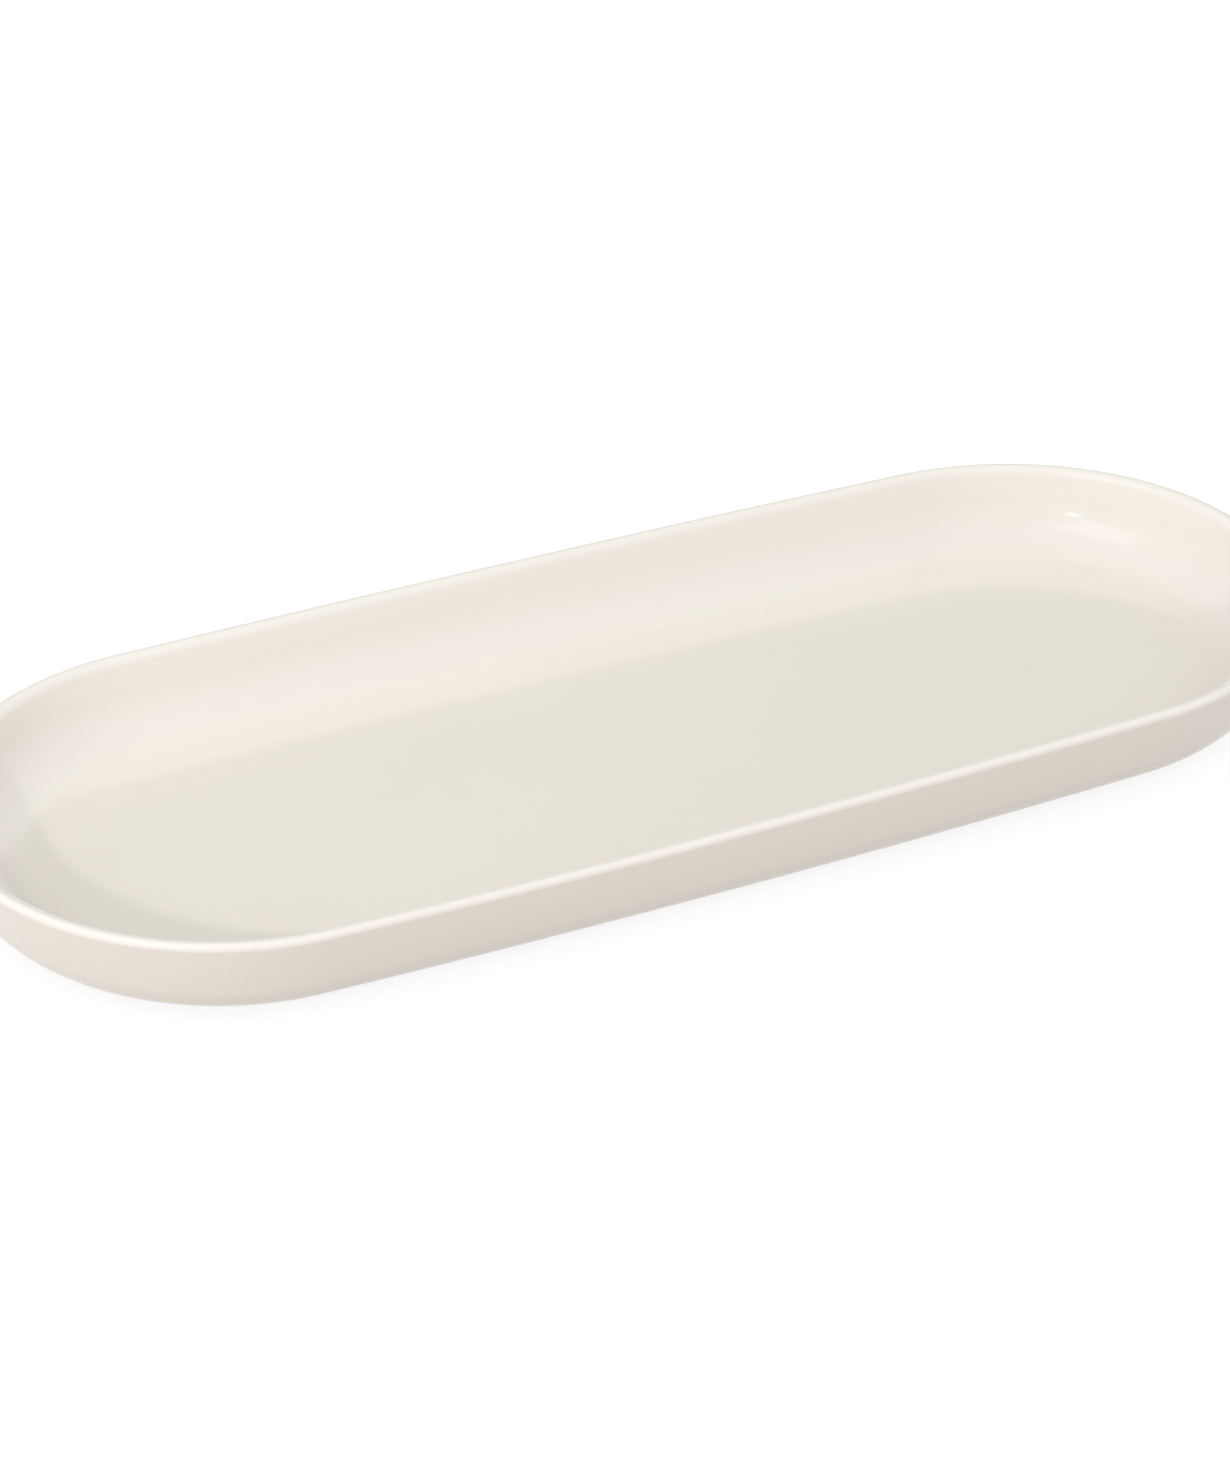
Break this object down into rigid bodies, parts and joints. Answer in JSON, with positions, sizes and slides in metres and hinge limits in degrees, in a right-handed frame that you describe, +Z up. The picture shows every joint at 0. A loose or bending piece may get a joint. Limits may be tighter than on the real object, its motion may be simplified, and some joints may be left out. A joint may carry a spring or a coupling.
{
  "type": "oblong serving plate",
  "caption": "Long oval serving plate with round ends, a raised curved wall, a rounded lip, a flat floor and a bare foot ring; holds food, cutlery or small things.",
  "frame": {"origin": "on the table, under the middle of the plate", "axes": "+X along the plate's length, +Y across it, +Z up out of the well"},
  "size_m": [0.3, 0.12, 0.022],
  "materials": {
    "fired_clay": "bare fired clay, fine grained and matt",
    "cream_glaze": "glossy cream glaze",
    "underside_cream_glaze": "glossy cream glaze"
  },
  "bodies": {
    "root": {"clay_body": "fired_clay", "glaze_coat": "cream_glaze", "underside_glaze": "underside_cream_glaze"}
  },
  "joints": []
}
